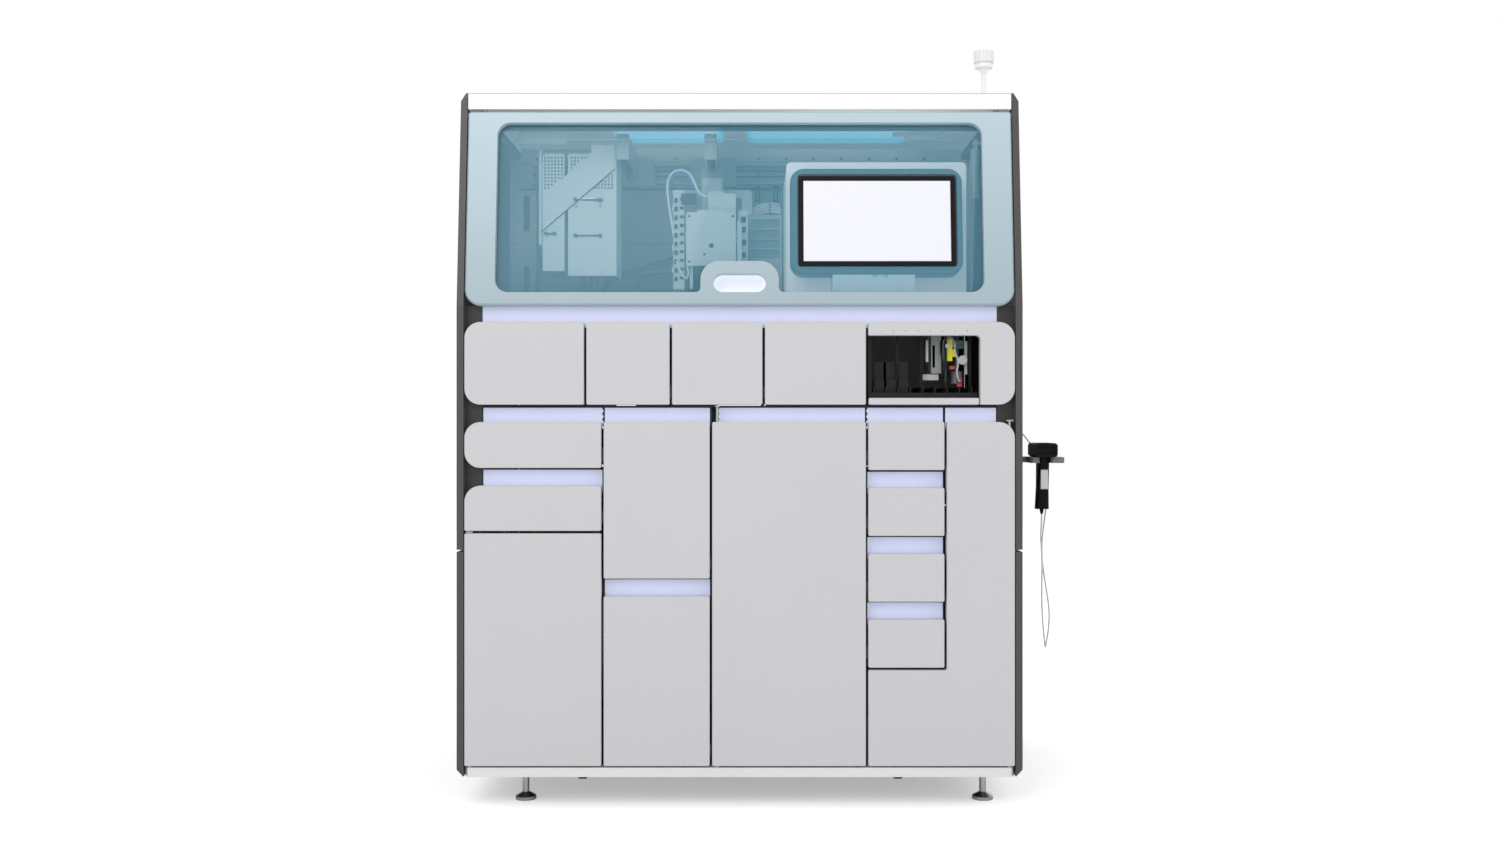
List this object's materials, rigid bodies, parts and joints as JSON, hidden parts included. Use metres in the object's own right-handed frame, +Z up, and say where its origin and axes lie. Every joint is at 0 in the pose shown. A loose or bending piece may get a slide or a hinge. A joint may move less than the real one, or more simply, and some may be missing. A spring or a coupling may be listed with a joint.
{
  "type": "molecular diagnostic analyzer",
  "caption": "Floor-standing laboratory analyzer cabinet with drawers, doors, a tilted windowed hood over a work chamber, a touch screen, a rack bay and a hand scanner.",
  "frame": {"origin": "on the floor under the middle of the object's box, so the cabinet's own middle lies 56.5 mm to the left of it", "axes": "+X to the right seen from the front, +Y to the back, +Z up"},
  "size_m": [1.453, 0.79, 1.871],
  "materials": {
    "frame_steel": "powder coat",
    "foot_steel": "turned steel",
    "zinc_steel": "zinc plated",
    "castor_rubber": "matte",
    "white_plastic": "moulded, fine grain",
    "front_plastic": "painted moulding, satin",
    "side_grey": "powder coat, fine",
    "lavender": "satin",
    "tinted_acrylic": "polished, tinted",
    "hood_plastic": "painted, satin gloss",
    "chamber_sheet": "powder coat",
    "aluminium": "anodised",
    "black_plastic": "moulded",
    "screen_glass": "display glass",
    "rack_black": "moulded",
    "bottle_plastic": "translucent",
    "bracket_grey": "powder coat",
    "cord_plastic": "soft jacket"
  },
  "bodies": {
    "cabinet": {"base_frame": "frame_steel", "levelling_feet": "foot_steel", "castor_forks": "zinc_steel", "base_plinth": "white_plastic", "cabinet_frame": "frame_steel", "instrument_deck": "chamber_sheet", "grip_rail": "lavender", "left_side_panels": "side_grey", "right_side_panels": "side_grey", "tinted_windows": "tinted_acrylic", "top_cover": "white_plastic", "rear_panels": "side_grey", "chamber_liner": "chamber_sheet", "beacon": "white_plastic", "hood_mountings": "zinc_steel", "screen_housing": "white_plastic", "touch_screen": "screen_glass", "screen_pedestal": "white_plastic", "module_cover": "white_plastic", "gantry_rail": "aluminium", "thermal_module": "aluminium", "fixed_fronts": "front_plastic", "rack_tray": "black_plastic", "sample_module": "bracket_grey", "drawer_runners": "zinc_steel", "door_hinges": "foot_steel", "reagent_bottles": "bottle_plastic", "power_module": "zinc_steel", "scanner_bracket": "bracket_grey", "scanner_cord": "cord_plastic"},
    "hood": {"hood_frame": "hood_plastic", "hood_window": "tinted_acrylic"},
    "strut_cylinder": {"strut_cylinder": "aluminium"},
    "strut_rod": {"strut_rod": "foot_steel"},
    "pipetting_arm": {"pipetting_arm": "aluminium", "pipetting_head": "chamber_sheet"},
    "pipette_nozzles": {"pipette_nozzles": "aluminium"},
    "gripper_arm": {"gripper_arm": "aluminium"},
    "gripper_head": {"gripper_head": "chamber_sheet"},
    "left_door": {"left_door": "front_plastic"},
    "middle_door": {"middle_door": "front_plastic"},
    "right_door": {"right_door": "front_plastic"},
    "front_castor_wheels": {"front_castor_wheels": "castor_rubber"},
    "rear_castor_wheels": {"rear_castor_wheels": "castor_rubber"},
    "handheld_scanner": {"handheld_scanner": "black_plastic"},
    "scanner_trigger": {"scanner_trigger": "bracket_grey"},
    "upper_left_drawer": {"upper_left_drawer": "front_plastic"},
    "lower_left_drawer": {"lower_left_drawer": "front_plastic"},
    "consumables_drawer": {"consumables_drawer": "front_plastic"},
    "waste_drawer": {"waste_drawer": "front_plastic"},
    "plate_drawer": {"plate_drawer": "front_plastic"},
    "tip_drawer": {"tip_drawer": "front_plastic"},
    "cartridge_drawer": {"cartridge_drawer": "front_plastic"},
    "reagent_drawer_1": {"reagent_drawer_1": "front_plastic"},
    "reagent_drawer_2": {"reagent_drawer_2": "front_plastic"},
    "reagent_drawer_3": {"reagent_drawer_3": "front_plastic"},
    "reagent_drawer_4": {"reagent_drawer_4": "front_plastic"},
    "sample_rack_1": {"sample_rack_1": "rack_black"},
    "sample_rack_2": {"sample_rack_2": "rack_black"},
    "sample_rack_3": {"sample_rack_3": "rack_black"}
  },
  "joints": [
    {"name": "hood_lift", "type": "hinge", "parent": "cabinet", "child": "hood", "pos_m": [-0.0565, -0.33651, 1.651], "axis": [-1, 0, 0], "range_deg": [0, 70]},
    {"name": "strut_swing", "type": "hinge", "parent": "hood", "child": "strut_cylinder", "pos_m": [0.5155, -0.30851, 1.591], "axis": [1, 0, 0], "range_deg": [0, 80.07]},
    {"name": "strut_stroke", "type": "slide", "parent": "strut_cylinder", "child": "strut_rod", "axis": [0, 0.1537, -0.9881], "range_m": [0, 0.03084]},
    {"name": "pipetting_travel", "type": "slide", "parent": "cabinet", "child": "pipetting_arm", "axis": [1, 0, 0], "range_m": [-0.1, 0.04]},
    {"name": "nozzle_stroke", "type": "slide", "parent": "pipetting_arm", "child": "pipette_nozzles", "axis": [0, 0, -1], "range_m": [0, 0.05]},
    {"name": "gripper_travel", "type": "slide", "parent": "cabinet", "child": "gripper_arm", "axis": [1, 0, 0], "range_m": [-0.04, 0.06]},
    {"name": "gripper_stroke", "type": "slide", "parent": "gripper_arm", "child": "gripper_head", "axis": [0, 0, -1], "range_m": [0, 0.08]},
    {"name": "left_door_swing", "type": "hinge", "parent": "cabinet", "child": "left_door", "pos_m": [-0.6965, -0.389, 0.1], "axis": [0, 0, -1], "range_deg": [0, 90]},
    {"name": "middle_door_swing", "type": "hinge", "parent": "cabinet", "child": "middle_door", "pos_m": [-0.1095, -0.389, 0.1], "axis": [0, 0, -1], "range_deg": [0, 90]},
    {"name": "right_door_swing", "type": "hinge", "parent": "cabinet", "child": "right_door", "pos_m": [0.5835, -0.389, 0.1], "axis": [0, 0, 1], "range_deg": [0, 90]},
    {"name": "front_wheels_roll", "type": "hinge", "parent": "cabinet", "child": "front_castor_wheels", "pos_m": [0.3385, -0.195, 0.045], "axis": [1, 0, 0], "continuous": true},
    {"name": "rear_wheels_roll", "type": "hinge", "parent": "cabinet", "child": "rear_castor_wheels", "pos_m": [0.3385, 0.195, 0.045], "axis": [1, 0, 0], "continuous": true},
    {"name": "scanner_lift_out", "type": "slide", "parent": "cabinet", "child": "handheld_scanner", "axis": [0, -1, 0], "range_m": [0, 0.12]},
    {"name": "trigger_press", "type": "slide", "parent": "handheld_scanner", "child": "scanner_trigger", "axis": [0, 1, 0], "range_m": [0, 0.003], "stiffness_N_per_m": 400},
    {"name": "upper_left_drawer_slide", "type": "slide", "parent": "cabinet", "child": "upper_left_drawer", "axis": [0, -1, 0], "range_m": [0, 0.4]},
    {"name": "lower_left_drawer_slide", "type": "slide", "parent": "cabinet", "child": "lower_left_drawer", "axis": [0, -1, 0], "range_m": [0, 0.4]},
    {"name": "consumables_drawer_slide", "type": "slide", "parent": "cabinet", "child": "consumables_drawer", "axis": [0, -1, 0], "range_m": [0, 0.4]},
    {"name": "waste_drawer_slide", "type": "slide", "parent": "cabinet", "child": "waste_drawer", "axis": [0, -1, 0], "range_m": [0, 0.4]},
    {"name": "plate_drawer_slide", "type": "slide", "parent": "cabinet", "child": "plate_drawer", "axis": [0, -1, 0], "range_m": [0, 0.35]},
    {"name": "tip_drawer_slide", "type": "slide", "parent": "cabinet", "child": "tip_drawer", "axis": [0, -1, 0], "range_m": [0, 0.35]},
    {"name": "cartridge_drawer_slide", "type": "slide", "parent": "cabinet", "child": "cartridge_drawer", "axis": [0, -1, 0], "range_m": [0, 0.35]},
    {"name": "reagent_drawer_1_slide", "type": "slide", "parent": "cabinet", "child": "reagent_drawer_1", "axis": [0, -1, 0], "range_m": [0, 0.4]},
    {"name": "reagent_drawer_2_slide", "type": "slide", "parent": "cabinet", "child": "reagent_drawer_2", "axis": [0, -1, 0], "range_m": [0, 0.4]},
    {"name": "reagent_drawer_3_slide", "type": "slide", "parent": "cabinet", "child": "reagent_drawer_3", "axis": [0, -1, 0], "range_m": [0, 0.4]},
    {"name": "reagent_drawer_4_slide", "type": "slide", "parent": "cabinet", "child": "reagent_drawer_4", "axis": [0, -1, 0], "range_m": [0, 0.4]},
    {"name": "sample_rack_1_slide", "type": "slide", "parent": "cabinet", "child": "sample_rack_1", "axis": [0, -1, 0], "range_m": [0, 0.2]},
    {"name": "sample_rack_2_slide", "type": "slide", "parent": "cabinet", "child": "sample_rack_2", "axis": [0, -1, 0], "range_m": [0, 0.2]},
    {"name": "sample_rack_3_slide", "type": "slide", "parent": "cabinet", "child": "sample_rack_3", "axis": [0, -1, 0], "range_m": [0, 0.2]}
  ],
  "couplings": [
    {"joint": "strut_swing", "follows": "hood_lift", "ratio": 1.1438},
    {"joint": "strut_stroke", "follows": "hood_lift", "m_per_rad": 0.025244}
  ]
}
